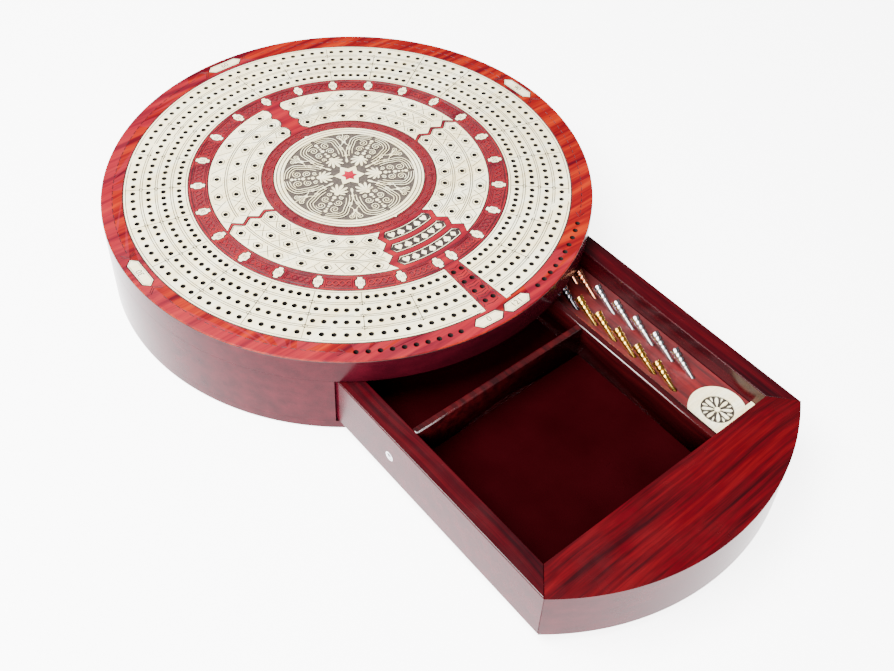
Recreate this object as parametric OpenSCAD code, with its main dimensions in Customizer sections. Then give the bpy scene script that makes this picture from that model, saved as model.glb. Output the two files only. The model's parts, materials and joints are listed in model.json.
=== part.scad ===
// Round cribbage board: a glued wooden body with an inlaid playing face, and a
// drawer that slides right through it, holding two card wells and a peg rack.
// The origin is the centre of the body's underside, +Z is up, and the drawer
// pulls out towards -Y. Every drawer part is drawn shut, then moved out by pull.

/* [Board] */
// Radius of the round body, mm
board_r = 152.4; // [148:0.2:160]
// Height of the body from its underside to the playing face, mm
board_h = 58; // [56:0.5:64]
// Thickness of the base board, mm
base_t = 6.3; // [4:0.1:6.3]
// Thickness of the inlaid playing face, mm
face_t = 3; // [2:0.5:4]
// Depth of every peg hole in the playing face, mm
hole_depth = 8; // [6:0.5:10]
// Radius of every peg hole, mm
hole_r = 1.6; // [1.4:0.05:1.7]

/* [Playing face] */
// Radius of the maple medallion, mm
medallion_r = 47.3; // [45:0.1:48]
// Inner radius of the scoring fields, mm
field_in = 54.7; // [53:0.1:55]
// Outer radius of the scoring fields, mm
field_out = 87.7; // [87:0.1:89]
// Inner radius of the maple track, mm
track_in = 99.8; // [99:0.1:101]
// Outer radius of the maple track, mm
track_out = 139.1; // [138.5:0.1:140]
// Arc taken by the start strip, degrees
start_arc = 6.24; // [5.8:0.02:6.6]

/* [Drawer] */
// Overall width of the drawer, mm
drawer_w = 191.4; // [188:0.2:192]
// Height of the drawer, mm
drawer_h = 34.4; // [30:0.2:34.6]
// Thickness of the drawer sides, mm
wall_t = 12.7; // [11:0.1:13]
// How far the drawer stands out of the body, mm
pull = 164.6; // [0:0.2:190]
// Inside length of the drawer, mm
inner_l = 209.4; // [208:0.2:211]

/* [Pegs] */
// Length of a peg, mm
peg_l = 26; // [24:0.5:26.5]
// Angle of a stored peg above the rack's face, degrees
peg_lean = 32; // [30:1:35]
// Distance from one rack hole to the next, mm
rack_pitch = 15.6; // [15:0.1:15.7]

/* [Hidden] */
$fn = 96;
eps = 0.01;

// Heights of the stack, from the underside
channel_gap = 0.5;
run_gap = 0.3;
drawer_z = base_t + run_gap;
drawer_top = drawer_z + drawer_h;
ceiling_z = drawer_top + channel_gap;
core_top = board_h - face_t;

// Channel and drawer plan
side_gap = 1.4;
half_w = drawer_w / 2;
channel_half = half_w + side_gap;
inner_half = half_w - wall_t;
half_l = inner_l / 2;
shoulder_y = sqrt(board_r * board_r - half_w * half_w);
floor_t = 8.9;
floor_top = drawer_z + floor_t;
lining_t = 1.5;
divider_t = 4.4;
divider_drop = 1;
divider_h = drawer_h - floor_t - divider_drop;
divider_x = 39.3;
rack_x = divider_x + divider_t;
cross_y = -6.9;
rack_top = 28;

// Playing face
groups = 24;
group_arc = (360 - start_arc) / groups;
group_gap = 6.7;
lane_w = (field_out - field_in) / 3;
track_rows = [105.2, 114.7, 123.8, 133.1];
start_half = 2.9;
rim_r = 145.4;
rim_first = 11.4;
rim_step = 2.62;
plaque_r = 93.8;
corner_arc = 1.4;
gap_half = 4.5;
notch_half = 7.5;
zig_mid = 2.7;
zig_rise = 1.6;
zig_t = 2;
tally_tip = 20.2;
tally_corner = 17;
label_tip = 16.4;
label_corner = 14.5;
label_half = 3.7;
star_r = 5.2;

// Ball catch in each drawer side
catch_z = 23.5;
ball_r = 2.2;
barrel_r = 3;
barrel_l = 9;
barrel_bore = 2.3;
lip_r = 2;
lip_t = 0.35;
barrel_end = 0.8;
ball_set = lip_t + sqrt(ball_r * ball_r - lip_r * lip_r) + 0.02;
spring_r = 1.65;
wire_r = 0.25;
spring_start = 3.05;
spring_turns = 5;
strike_t = 0.8;
strike_l = 14;
strike_w = 9;
dimple_r = 1.5;

// Peg rack
rack_rows = [56.3, 71.4];
rack_first = -63.6;
set_count = 5;
bore_depth = 9;
peg_in = 8.5;

function polar(r, a) = [r * cos(a), r * sin(a)];

// ---- plan shapes of the playing face ----

module ring_2d(r_in, r_out) {
    difference() {
        circle(r = r_out, $fn = 180);
        circle(r = r_in, $fn = 180);
    }
}

// A plaque drawn out to a point at both ends
module hexagon_2d(l, w, point) {
    polygon([
        [-l / 2, 0], [-l / 2 + point, w / 2], [l / 2 - point, w / 2],
        [l / 2, 0], [l / 2 - point, -w / 2], [-l / 2 + point, -w / 2]
    ]);
}

// A number plaque: a barrel with a narrower tab at each end
module plaque_2d() {
    barrel = [6, 6];
    tab = [9.4, 3.4];
    hexagon_2d(barrel[0] + 1.6, barrel[1], 1.6);
    square(tab, center = true);
}

function plaque_angle(k) = 270 + start_arc / 2 + group_arc * k;

module plaques_2d() {
    for (k = [0 : groups]) rotate(plaque_angle(k)) translate([plaque_r, 0]) plaque_2d();
}

module corner_plaques_2d() {
    for (a = [90, 180 - corner_arc, corner_arc])
        rotate(a - 90) translate([0, rim_r]) hexagon_2d(25.7, 7.5, 3.6);
}

module end_plaque_2d(side) {
    turn = 4.1;
    rotate(180 + side * turn) translate([0, rim_r]) hexagon_2d(20, 7.6, 3.4);
}

// A curved label: half_r to each side of radius r, pointed at plus and minus tip degrees
module label_2d(r, half_r, tip, corner) {
    steps = [-1, -0.5, 0, 0.5, 1];
    intersection() {
        ring_2d(r - half_r, r + half_r);
        polygon(concat(
            [for (s = steps) polar((r + half_r) * 1.03, 270 + s * corner)],
            [polar(r, 270 + tip)],
            [for (s = steps) polar((r - half_r) * 0.97, 270 - s * corner)],
            [polar(r, 270 - tip)]
        ));
    }
}

function lane_mid(k) = field_in + lane_w * (k + 0.5);

// Bloodwood left between the rear fields: a bar whose edges are notched between lanes
module rear_gap_2d() {
    side = [for (k = [0 : 2], p = [[-0.5, notch_half], [-0.22, gap_half], [0.22, gap_half]])
        [p[1], lane_mid(k) + p[0] * lane_w]];
    edge = concat([[notch_half, field_in - 2]], side,
        [[notch_half, field_out], [notch_half, field_out + 2]]);
    polygon(concat(edge, [for (i = [len(edge) - 1 : -1 : 0]) [-edge[i][0], edge[i][1]]]));
}

// Radius of lane edge k; the first and last are carried just past the field
function lane_edge(k) = field_in + lane_w * k + (k == 0 ? -0.6 : k == 3 ? 0.6 : 0);

// Steps outwards lane by lane: low at the lane edges, high at the lane middles
function zigzag(low, high, overrun) = concat(
    [[field_in - overrun, low]],
    [for (k = [0 : 2], crest = [false, true]) crest ? [lane_mid(k), high] : [lane_edge(k), low]],
    [[lane_edge(3), low], [field_out + overrun, low]]
);

// Narrow chevron strip between a rear field and a front field
module chevron_strip_2d() {
    path = zigzag(zig_mid - zig_rise, zig_mid + zig_rise, 2);
    function at(p, s) = polar(p[0], p[1] + s * zig_t / 2 / p[0] * 180 / PI);
    polygon(concat([for (p = path) at(p, 1)],
        [for (i = [len(path) - 1 : -1 : 0]) at(path[i], -1)]));
}

// Bloodwood that frames the three tally labels
module tally_frame_2d() {
    path = zigzag(tally_corner, tally_tip, 8);
    polygon(concat([for (p = path) polar(p[0], 270 + p[1])],
        [for (i = [len(path) - 1 : -1 : 0]) polar(path[i][0], 270 - path[i][1])]));
}

module fields_2d() {
    difference() {
        ring_2d(field_in, field_out);
        rear_gap_2d();
        chevron_strip_2d();
        mirror([1, 0]) chevron_strip_2d();
        tally_frame_2d();
    }
}

module track_2d() {
    difference() {
        ring_2d(track_in, track_out);
        translate([0, -board_r / 2]) polygon([
            [-track_in * sin(start_arc / 2), board_r / 2 - track_in + 2],
            [track_in * sin(start_arc / 2), board_r / 2 - track_in + 2],
            [track_out * sin(start_arc / 2), -board_r / 2],
            [-track_out * sin(start_arc / 2), -board_r / 2]
        ]);
    }
}

module medallion_2d() {
    cusp = 1.6;
    circle(r = medallion_r, $fn = 180);
    for (a = [0, 180]) rotate(a)
        polygon([[-cusp, medallion_r - 0.5], [0, medallion_r + 1.1], [cusp, medallion_r - 0.5]]);
}

module star_2d() {
    polygon([for (i = [0 : 11]) polar(i % 2 == 0 ? star_r : star_r * 0.6, 90 + 30 * i)]);
}

// ---- peg holes in plan ----

module hole_2d() {
    circle(r = hole_r, $fn = 24);
}

module track_holes_2d() {
    for (r = track_rows, k = [0 : groups - 1]) {
        to_deg = 180 / (PI * r);
        pitch = (group_arc / to_deg - group_gap) / 4;
        for (i = [0 : 4])
            rotate(plaque_angle(k) + (group_gap / 2 + i * pitch) * to_deg)
                translate([r, 0]) hole_2d();
    }
}

// Seven holes a lane: angles of the rear and front fields on the +X side
function rear_angle(i) = 11.1 + 11.6 * i;
function front_angle(i) = -2.4 - 10.5 * i;

module field_holes_2d(rear) {
    for (k = [0 : 2], i = [0 : 6])
        rotate(rear ? rear_angle(i) : front_angle(i)) translate([lane_mid(k), 0]) hole_2d();
}

module all_field_holes_2d() {
    for (rear = [true, false], side = [0, 1]) mirror([side, 0]) field_holes_2d(rear);
}

module start_holes_2d() {
    for (r = track_rows, x = [-start_half, start_half]) translate([x, -r]) hole_2d();
}

module rim_holes_2d() {
    for (side = [-1, 1], i = [0 : 9])
        rotate(270 + side * (rim_first + rim_step * i)) translate([rim_r, 0]) hole_2d();
}

module face_layer() {
    translate([0, 0, core_top]) linear_extrude(face_t) children();
}

// ---- body ----

module base_board() {
    color("#4a1018") cylinder(r = board_r, h = base_t, $fn = 180);
}

// Channel wall, the part of the disc outside the channel on the +X side
module side_block() {
    difference() {
        translate([0, 0, base_t]) linear_extrude(ceiling_z - base_t) intersection() {
            circle(r = board_r, $fn = 180);
            translate([channel_half, -board_r]) square([board_r, 2 * board_r]);
        }
        translate([channel_half - eps, -strike_l / 2, catch_z - strike_w / 2])
            cube([strike_t + eps, strike_l, strike_w]);
    }
}

module side_block_right() {
    color("#4a1018") side_block();
}

module side_block_left() {
    color("#4a1018") mirror([1, 0, 0]) side_block();
}

module top_board() {
    bored = hole_depth - face_t;
    color("#5a1820") {
        translate([0, 0, ceiling_z]) cylinder(r = board_r, h = core_top - bored - ceiling_z, $fn = 180);
        translate([0, 0, core_top - bored]) linear_extrude(bored) difference() {
            circle(r = board_r, $fn = 180);
            track_holes_2d();
            all_field_holes_2d();
            start_holes_2d();
            rim_holes_2d();
        }
    }
}

module bloodwood_face() {
    color("#b0402c") face_layer() difference() {
        circle(r = board_r, $fn = 180);
        track_2d();
        fields_2d();
        medallion_2d();
        plaques_2d();
        corner_plaques_2d();
        end_plaque_2d(-1);
        end_plaque_2d(1);
        for (k = [0 : 2]) label_2d(lane_mid(k), label_half, label_tip, label_corner);
        start_holes_2d();
        rim_holes_2d();
    }
}

module track_inlay() {
    color("#f2e6cd") face_layer() difference() {
        track_2d();
        track_holes_2d();
    }
}

// One of the four fields of three lanes; side is 0 for +X and 1 for -X
module score_field(rear, side) {
    edge = zigzag(zig_mid - zig_rise, zig_mid + zig_rise, 2);
    sweep = [for (i = [1 : 6]) zig_mid + (rear ? 1 : -1) * i * 14.5];
    color("#f2e6cd") mirror([side, 0, 0]) face_layer() difference() {
        intersection() {
            fields_2d();
            polygon(concat([[0, 0]], [for (p = edge) polar(p[0], p[1])],
                [for (a = sweep) polar(110, a)]));
        }
        field_holes_2d(rear);
    }
}

module score_field_rear_right() {
    score_field(true, 0);
}

module score_field_rear_left() {
    score_field(true, 1);
}

module score_field_front_right() {
    score_field(false, 0);
}

module score_field_front_left() {
    score_field(false, 1);
}

module medallion() {
    color("#e6d9c0") face_layer() difference() {
        medallion_2d();
        star_2d();
    }
}

module medallion_star() {
    color("#b01030") face_layer() star_2d();
}

module number_plaques() {
    color("#f6ecd6") face_layer() plaques_2d();
}

module corner_plaques() {
    color("#f6ecd6") face_layer() corner_plaques_2d();
}

module start_plaque() {
    color("#f6ecd6") face_layer() end_plaque_2d(-1);
}

module finish_plaque() {
    color("#f6ecd6") face_layer() end_plaque_2d(1);
}

module tally_label(k) {
    color("#3a302c") face_layer() label_2d(lane_mid(k), label_half, label_tip, label_corner);
}

module tally_label_inner() {
    tally_label(0);
}

module tally_label_middle() {
    tally_label(1);
}

module tally_label_outer() {
    tally_label(2);
}

// Brass plates let into the channel walls, each with a hole that the ball drops into
module strike_plates() {
    color("#b08d3c") for (side = [0, 1]) mirror([side, 0, 0]) difference() {
        translate([channel_half, -strike_l / 2, catch_z - strike_w / 2])
            cube([strike_t, strike_l, strike_w]);
        translate([channel_half - 1, 0, catch_z]) rotate([0, 90, 0])
            cylinder(r = dimple_r, h = strike_t + 2, $fn = 24);
    }
}

// ---- drawer ----

module in_drawer() {
    translate([0, -pull, 0]) children();
}

// Bow-fronted end block, mitred to the sides; turn is 0 for the front, 180 for the rear
module drawer_end(turn) {
    in_drawer() rotate(turn) translate([0, 0, drawer_z]) linear_extrude(drawer_h) intersection() {
        circle(r = board_r, $fn = 180);
        polygon([
            [-inner_half, -half_l], [inner_half, -half_l], [half_w, -shoulder_y],
            [half_w, -board_r - 5], [-half_w, -board_r - 5], [-half_w, -shoulder_y]
        ]);
    }
}

module drawer_front() {
    color("#7a1218") drawer_end(0);
}

module drawer_rear() {
    color("#7a1218") drawer_end(180);
}

module drawer_side(side) {
    in_drawer() mirror([side, 0, 0]) difference() {
        translate([0, 0, drawer_z]) linear_extrude(drawer_h) polygon([
            [inner_half, -half_l], [half_w, -shoulder_y], [half_w, shoulder_y], [inner_half, half_l]
        ]);
        translate([half_w - barrel_l, 0, catch_z]) rotate([0, 90, 0])
            cylinder(r = barrel_r, h = barrel_l + 1, $fn = 48);
    }
}

module drawer_side_left() {
    color("#7a1218") drawer_side(1);
}

module drawer_side_right() {
    color("#7a1218") drawer_side(0);
}

module drawer_floor() {
    color("#4a1014") in_drawer() translate([-inner_half, -half_l, drawer_z])
        cube([2 * inner_half, inner_l, floor_t]);
}

module cross_divider() {
    color("#5a1018") in_drawer() translate([-inner_half, cross_y, floor_top])
        cube([inner_half + divider_x, divider_t, divider_h]);
}

module long_divider() {
    color("#5a1018") in_drawer() translate([divider_x, -half_l, floor_top])
        cube([divider_t, inner_l, divider_h]);
}

// Velvet pad on the floor of a card well, from y0 to y1 with the drawer shut
module well_lining(y0, y1) {
    in_drawer() translate([-inner_half, y0, floor_top])
        cube([inner_half + divider_x, y1 - y0, lining_t]);
}

module front_well_lining() {
    color("#3a060c") well_lining(-half_l, cross_y);
}

module rear_well_lining() {
    color("#3a060c") well_lining(cross_y + divider_t, half_l);
}

// Puts a child at rack hole i of a row, its +Z along the leaning hole
module at_rack_hole(row, i) {
    translate([rack_rows[row], rack_first + rack_pitch * i, rack_top])
        rotate([peg_lean - 90, 0, 0]) children();
}

module peg_rack() {
    mouth = 4;
    color("#7a1218") in_drawer() difference() {
        translate([rack_x, -half_l, floor_top])
            cube([inner_half - rack_x, inner_l, rack_top - floor_top]);
        for (row = [0, 1], i = [0 : 2 * set_count - 1]) at_rack_hole(row, i)
            translate([0, 0, -bore_depth]) cylinder(r = hole_r, h = bore_depth + mouth, $fn = 32);
    }
}

// Arched maple plate with a plain bar along its foot
module rosette_plate() {
    head_r = 16.2;
    bar = [38.6, 6.6];
    plate_t = 2;
    x = (rack_x + inner_half) / 2;
    color("#ecdcb8") in_drawer() translate([x, -half_l, rack_top]) linear_extrude(plate_t) {
        intersection() {
            translate([0, bar[1] + head_r * 0.5]) circle(r = head_r);
            translate([-head_r, bar[1]]) square(2 * head_r);
        }
        translate([-bar[0] / 2, 0.1]) square(bar);
    }
}

// ---- ball catches ----

// Places a child at the catch on the +X side, its +Z pointing into the drawer side
module at_catch(side) {
    in_drawer() mirror([side, 0, 0]) translate([half_w, 0, catch_z]) rotate([0, -90, 0]) children();
}

module catch_barrels() {
    color("#b9b9bd") for (side = [0, 1]) at_catch(side) difference() {
        cylinder(r = barrel_r, h = barrel_l, $fn = 48);
        translate([0, 0, lip_t]) cylinder(r = barrel_bore, h = barrel_l - lip_t - barrel_end, $fn = 48);
        translate([0, 0, -1]) cylinder(r = lip_r, h = 2, $fn = 48);
    }
}

module catch_ball(side) {
    color("#d0d0d4") at_catch(side) translate([0, 0, ball_set]) sphere(r = ball_r, $fn = 48);
}

module catch_ball_left() {
    catch_ball(1);
}

module catch_ball_right() {
    catch_ball(0);
}

// Coil spring as one swept mesh: rings of wire_sides points along a helix
module coil(turns, r, length, wire) {
    wire_sides = 6;
    per_turn = 12;
    rings = turns * per_turn;
    function ring(i) = [for (j = [0 : wire_sides - 1])
        let (a = 360 * i / per_turn, b = 360 * j / wire_sides, q = r + wire * cos(b))
        [q * cos(a), q * sin(a), length * i / rings + wire * sin(b)]];
    points = [for (i = [0 : rings], p = ring(i)) p];
    sides = [for (i = [0 : rings - 1], j = [0 : wire_sides - 1])
        let (n = (j + 1) % wire_sides, a = i * wire_sides, b = a + wire_sides)
        [a + j, a + n, b + n, b + j]];
    ends = [
        [for (j = [wire_sides - 1 : -1 : 0]) j],
        [for (j = [0 : wire_sides - 1]) rings * wire_sides + j]
    ];
    polyhedron(points, concat(sides, ends));
}

module catch_spring(side) {
    room = barrel_l - barrel_end - wire_r - 0.05 - spring_start;
    color("#909094") at_catch(side) translate([0, 0, spring_start])
        coil(spring_turns, spring_r, room, wire_r);
}

module catch_spring_left() {
    catch_spring(1);
}

module catch_spring_right() {
    catch_spring(0);
}

// ---- pegs ----

// Half outline of a bead from z0 to z1: a shallow arc that swells to radius r
function bead(z0, z1, r, neck) = [for (t = [0 : 30 : 180])
    [neck + (r - neck) * sin(t), z0 + (z1 - z0) * (1 - cos(t)) / 2]];

// A turned metal peg whose shank runs down from z = 0 and whose beads stand above it
module peg_shape() {
    tip_r = 1.1;
    shank_r = 1.5;
    neck = 1.35;
    shank_top = 4.6;
    top = peg_l - peg_in;
    bead_h = (top - shank_top - 1) / 4;
    z = [for (i = [0 : 4]) shank_top + 1 + bead_h * i];
    rotate_extrude($fn = 32) polygon(concat(
        [[0, -peg_in], [tip_r - 0.3, -peg_in], [tip_r, -peg_in + 0.4], [shank_r, shank_top]],
        [[2, shank_top + 0.2], [2, shank_top + 0.8]],
        bead(z[0], z[1], 2, neck),
        bead(z[1], z[2], 2.3, neck + 0.2),
        bead(z[2], z[3], 2.55, neck + 0.4),
        bead(z[3], z[4] - 0.9, 2.7, neck + 0.6),
        [[2.8, top - 0.8], [2.8, top - 0.2], [2.5, top], [0, top]]
    ));
}

// Peg n of a set; sets sit in their row in order, front set first
module peg(row, set, n) {
    in_drawer() at_rack_hole(row, set * set_count + n - 1) peg_shape();
}

module peg_gold(n) {
    color("#d9b04a") peg(0, 0, n);
}

module peg_dark(n) {
    color("#4a4a50") peg(0, 1, n);
}

module peg_silver(n) {
    color("#d8d8dc") peg(1, 0, n);
}

module peg_copper(n) {
    color("#c07a50") peg(1, 1, n);
}

base_board();
side_block_left();
side_block_right();
top_board();
bloodwood_face();
track_inlay();
score_field_rear_right();
score_field_rear_left();
score_field_front_right();
score_field_front_left();
medallion();
medallion_star();
number_plaques();
corner_plaques();
start_plaque();
finish_plaque();
tally_label_inner();
tally_label_middle();
tally_label_outer();
strike_plates();
drawer_front();
drawer_rear();
drawer_side_left();
drawer_side_right();
drawer_floor();
cross_divider();
long_divider();
front_well_lining();
rear_well_lining();
peg_rack();
rosette_plate();
catch_barrels();
catch_spring_left();
catch_spring_right();
catch_ball_left();
catch_ball_right();
peg_gold(1);  // peg_gold_1
peg_gold(2);  // peg_gold_2
peg_gold(3);  // peg_gold_3
peg_gold(4);  // peg_gold_4
peg_gold(5);  // peg_gold_5
peg_dark(1);  // peg_dark_1
peg_dark(2);  // peg_dark_2
peg_dark(3);  // peg_dark_3
peg_dark(4);  // peg_dark_4
peg_dark(5);  // peg_dark_5
peg_silver(1);  // peg_silver_1
peg_silver(2);  // peg_silver_2
peg_silver(3);  // peg_silver_3
peg_silver(4);  // peg_silver_4
peg_silver(5);  // peg_silver_5
peg_copper(1);  // peg_copper_1
peg_copper(2);  // peg_copper_2
peg_copper(3);  // peg_copper_3
peg_copper(4);  // peg_copper_4
peg_copper(5);  // peg_copper_5
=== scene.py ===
# %% [markdown]
# # A round cribbage board
# The CAD frame gives every piece its place: a round wooden body, an inlaid playing face, a drawer that
# slides through the body, and twenty metal pegs. Here each piece gets the shape and finish of the real
# one. Lengths below are in millimetres, as on a workshop drawing, and helpers turn them into metres.

# %% Load the frame
import json
import math

import bpy
from mathutils import Matrix, Vector

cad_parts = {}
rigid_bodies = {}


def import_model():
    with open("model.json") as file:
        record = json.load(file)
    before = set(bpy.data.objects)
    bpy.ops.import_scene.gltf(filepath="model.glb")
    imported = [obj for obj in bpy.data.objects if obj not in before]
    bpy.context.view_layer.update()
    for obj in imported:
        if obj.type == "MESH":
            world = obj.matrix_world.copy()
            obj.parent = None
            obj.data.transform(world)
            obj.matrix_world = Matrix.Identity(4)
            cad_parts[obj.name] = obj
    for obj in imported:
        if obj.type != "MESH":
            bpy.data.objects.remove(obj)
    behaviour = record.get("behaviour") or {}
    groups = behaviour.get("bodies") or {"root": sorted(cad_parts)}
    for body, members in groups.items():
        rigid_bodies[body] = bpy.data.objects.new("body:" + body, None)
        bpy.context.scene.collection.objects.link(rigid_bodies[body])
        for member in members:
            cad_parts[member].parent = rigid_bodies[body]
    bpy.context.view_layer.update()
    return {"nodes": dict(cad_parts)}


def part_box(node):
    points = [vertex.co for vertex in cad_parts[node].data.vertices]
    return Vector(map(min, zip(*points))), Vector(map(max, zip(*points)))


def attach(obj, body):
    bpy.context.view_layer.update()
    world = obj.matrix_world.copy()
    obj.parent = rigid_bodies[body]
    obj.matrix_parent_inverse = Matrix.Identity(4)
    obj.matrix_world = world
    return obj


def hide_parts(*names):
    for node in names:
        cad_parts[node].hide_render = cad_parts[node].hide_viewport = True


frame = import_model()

MM = 0.001
nodes = frame["nodes"]

# %% [markdown]
# ## Sizes from the frame
# Heights and outer sizes are read from the CAD nodes, so the looks can't drift away from the design.
# The radii of the pattern on the playing face are the design's own, written out once.

# %% Sizes
def box_mm(node):
    low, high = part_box(node)
    return low / MM, high / MM


BOARD_R = box_mm("base_board")[1].x
BASE_TOP = box_mm("base_board")[1].z
CEILING = box_mm("top_board")[0].z
CORE_TOP = box_mm("top_board")[1].z
TOP = box_mm("bloodwood_face")[1].z
HOLE_R = 1.6
HOLE_DEPTH = 8.0
FIELD_IN, FIELD_OUT = 54.7, 87.7
TRACK_IN, TRACK_OUT = 99.8, 139.1
MEDALLION_R = 47.3
LANE_W = (FIELD_OUT - FIELD_IN) / 3
LANES = [FIELD_IN + LANE_W * (k + 0.5) for k in range(3)]
TRACKS = [105.2, 114.7, 123.8, 133.1]
START_ARC = 6.24
GROUPS = 24
GROUP_ARC = (360 - START_ARC) / GROUPS
RIM_R = 145.4
PLAQUE_R = 93.8
print("board radius", round(BOARD_R, 2), "height", round(TOP, 2), "group arc", round(GROUP_ARC, 3))

# %% [markdown]
# ## The camera
# The board is looked down on from the front left, with the drawer coming towards the viewer. The camera
# comes first, so that every later choice is made for a known view.

# %% Camera
def add_camera():
    yaw, pitch, roll = math.radians(40.62), math.radians(44.77), math.radians(2.22)
    place = Matrix.Rotation(math.radians(0.6), 3, "Z") @ Vector((-0.3273, -0.4496, 0.5398))
    ahead = Vector((math.sin(yaw) * math.cos(pitch), math.cos(yaw) * math.cos(pitch), -math.sin(pitch)))
    level = Vector((math.cos(yaw), -math.sin(yaw), 0))
    up = level.cross(ahead)
    right = level * math.cos(roll) + up * math.sin(roll)
    up = up * math.cos(roll) - level * math.sin(roll)
    data = bpy.data.cameras.new("camera")
    data.lens = 47.06
    data.shift_x = 0.0233
    data.shift_y = -0.0904
    camera = bpy.data.objects.new("camera", data)
    bpy.context.scene.collection.objects.link(camera)
    turn = Matrix((right, up, -ahead)).transposed().to_4x4()
    camera.matrix_world = Matrix.Translation(place) @ turn
    bpy.context.scene.camera = camera
    return camera


camera = add_camera()
print("camera at", [round(v, 3) for v in camera.location])

# %% [markdown]
# ## Workshop helpers
# A Blender operator acts on everything that is selected, so each helper first selects its own piece.
# Plates are drawn as flat outlines and given thickness, the way a sheet of veneer is cut to a drawing.
# Engraved lines are V-shaped bars, sunk half into the surface and cut away, as a V-tool would. A tall
# wall with a small bevel is smoothed only below the CRISP angle, so its shading stays even to the edge.

# %% Selecting and finishing
def pick(piece):
    if bpy.context.object and bpy.context.object.mode != "OBJECT":
        bpy.ops.object.mode_set(mode="OBJECT")
    bpy.ops.object.select_all(action="DESELECT")
    piece.select_set(True)
    bpy.context.view_layer.objects.active = piece


def settle(piece, name=None):
    pick(piece)
    bpy.ops.object.transform_apply(location=True, rotation=True, scale=True)
    if name:
        piece.name = name
        piece.data.name = name
    return piece


def weld(piece, reach=1e-6):
    pick(piece)
    bpy.ops.object.mode_set(mode="EDIT")
    bpy.ops.mesh.select_all(action="SELECT")
    bpy.ops.mesh.remove_doubles(threshold=reach)
    bpy.ops.mesh.normals_make_consistent(inside=False)
    bpy.ops.object.mode_set(mode="OBJECT")
    return piece


def apply_modifier(piece, kind, **settings):
    modifier = piece.modifiers.new(kind.lower(), kind)
    for key, value in settings.items():
        setattr(modifier, key, value)
    pick(piece)
    bpy.ops.object.modifier_apply(modifier=modifier.name)
    return piece


CRISP = 12
FLAT = 0.999


def smooth(piece, degrees=32):
    pick(piece)
    bpy.ops.object.shade_smooth_by_angle(angle=math.radians(degrees))
    for face in piece.data.polygons:
        face.use_smooth = abs(face.normal.z) < FLAT
    return piece


def discard(piece):
    bpy.data.objects.remove(piece, do_unlink=True)


def join(pieces, name):
    pick(pieces[0])
    for piece in pieces:
        piece.select_set(True)
    bpy.ops.object.join()
    return settle(pieces[0], name)


# %% Points along curves, in mm
def polar(r, degrees):
    return (r * math.cos(math.radians(degrees)), r * math.sin(math.radians(degrees)))


def arc(r, start, end, step=1.5):
    count = max(2, math.ceil(abs(end - start) / step) + 1)
    return [polar(r, start + (end - start) * i / (count - 1)) for i in range(count)]


def ring(r, count=240):
    return [polar(r, 360 * i / count) for i in range(count)]


def turned(points, degrees, shift=(0, 0)):
    c, s = math.cos(math.radians(degrees)), math.sin(math.radians(degrees))
    moved = [(x + shift[0], y + shift[1]) for x, y in points]
    return [(x * c - y * s, x * s + y * c) for x, y in moved]


def flipped(points):
    return [(x, -y) for x, y in points]


def spiral(centre, outer, inner, start, turns, count=26):
    path = []
    for i in range(count):
        t = i / (count - 1)
        x, y = polar(outer + (inner - outer) * t, start + 360 * turns * t)
        path.append((centre[0] + x, centre[1] + y))
    return path


def flowing(knots, count=8):
    path = []
    ends = [knots[0]] + list(knots) + [knots[-1]]
    for a, b, c, d in zip(ends, ends[1:], ends[2:], ends[3:]):
        for i in range(count):
            t = i / count
            path.append(tuple(0.5 * (2 * b[k] + (c[k] - a[k]) * t
                        + (2 * a[k] - 5 * b[k] + 4 * c[k] - d[k]) * t * t
                        + (3 * b[k] - a[k] - 3 * c[k] + d[k]) * t ** 3) for k in range(2)))
    return path + [knots[-1]]


# %% Plates, bars and cuts
def new_curve(name, flat):
    curve = bpy.data.curves.new(name, "CURVE")
    curve.dimensions = "2D" if flat else "3D"
    piece = bpy.data.objects.new(name, curve)
    bpy.context.scene.collection.objects.link(piece)
    return piece, curve


def add_path(curve, points, closed, z=0.0):
    spline = curve.splines.new("POLY")
    spline.points.add(len(points) - 1)
    for place, (x, y) in zip(spline.points, points):
        place.co = (x * MM, y * MM, z * MM, 1)
    spline.use_cyclic_u = closed


def plate(name, outlines, low, high):
    piece, curve = new_curve(name, flat=True)
    curve.fill_mode = "BOTH"
    curve.extrude = (high - low) / 2 * MM
    for outline in outlines:
        add_path(curve, outline, closed=True)
    piece.location.z = (low + high) / 2 * MM
    pick(piece)
    bpy.ops.object.convert(target="MESH")
    return weld(settle(bpy.context.object, name))


def carve(piece, tool):
    apply_modifier(piece, "BOOLEAN", object=tool, operation="DIFFERENCE", solver="MANIFOLD")
    discard(tool)
    return piece


def drill(centres, radius, low, high, sides=18):
    bpy.ops.mesh.primitive_cylinder_add(vertices=sides, radius=radius * MM, depth=(high - low) * MM,
                                        location=(0, 0, 0))
    bit = settle(bpy.context.object, "drill_bit")
    marks = bpy.data.meshes.new("marks")
    marks.from_pydata([(x * MM, y * MM, (low + high) / 2 * MM) for x, y in centres], [], [])
    card = bpy.data.objects.new("marks", marks)
    bpy.context.scene.collection.objects.link(card)
    bit.parent = card
    card.instance_type = "VERTS"
    pick(card)
    bpy.ops.object.duplicates_make_real()
    copies = [o for o in bpy.context.selected_objects if o is not card]
    discard(card)
    discard(bit)
    pick(copies[0])
    for copy in copies:
        copy.select_set(True)
    bpy.ops.object.join()
    tool = bpy.context.object
    tool.parent = None
    return settle(tool, "drill")


print("helpers ready")

# %% [markdown]
# ## Colours and node helpers
# A colour is written as it looks on a screen, from 0 to 255, and turned into the linear light that a
# shader works in. The node helper adds one node and wires it up in one line, so that a material reads
# from its coordinates down to its shader.

# %% Colours and nodes
def paint(red, green, blue):
    def linear(level):
        level /= 255
        return level / 12.92 if level <= 0.04045 else ((level + 0.055) / 1.055) ** 2.4
    return (linear(red), linear(green), linear(blue), 1)


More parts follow.
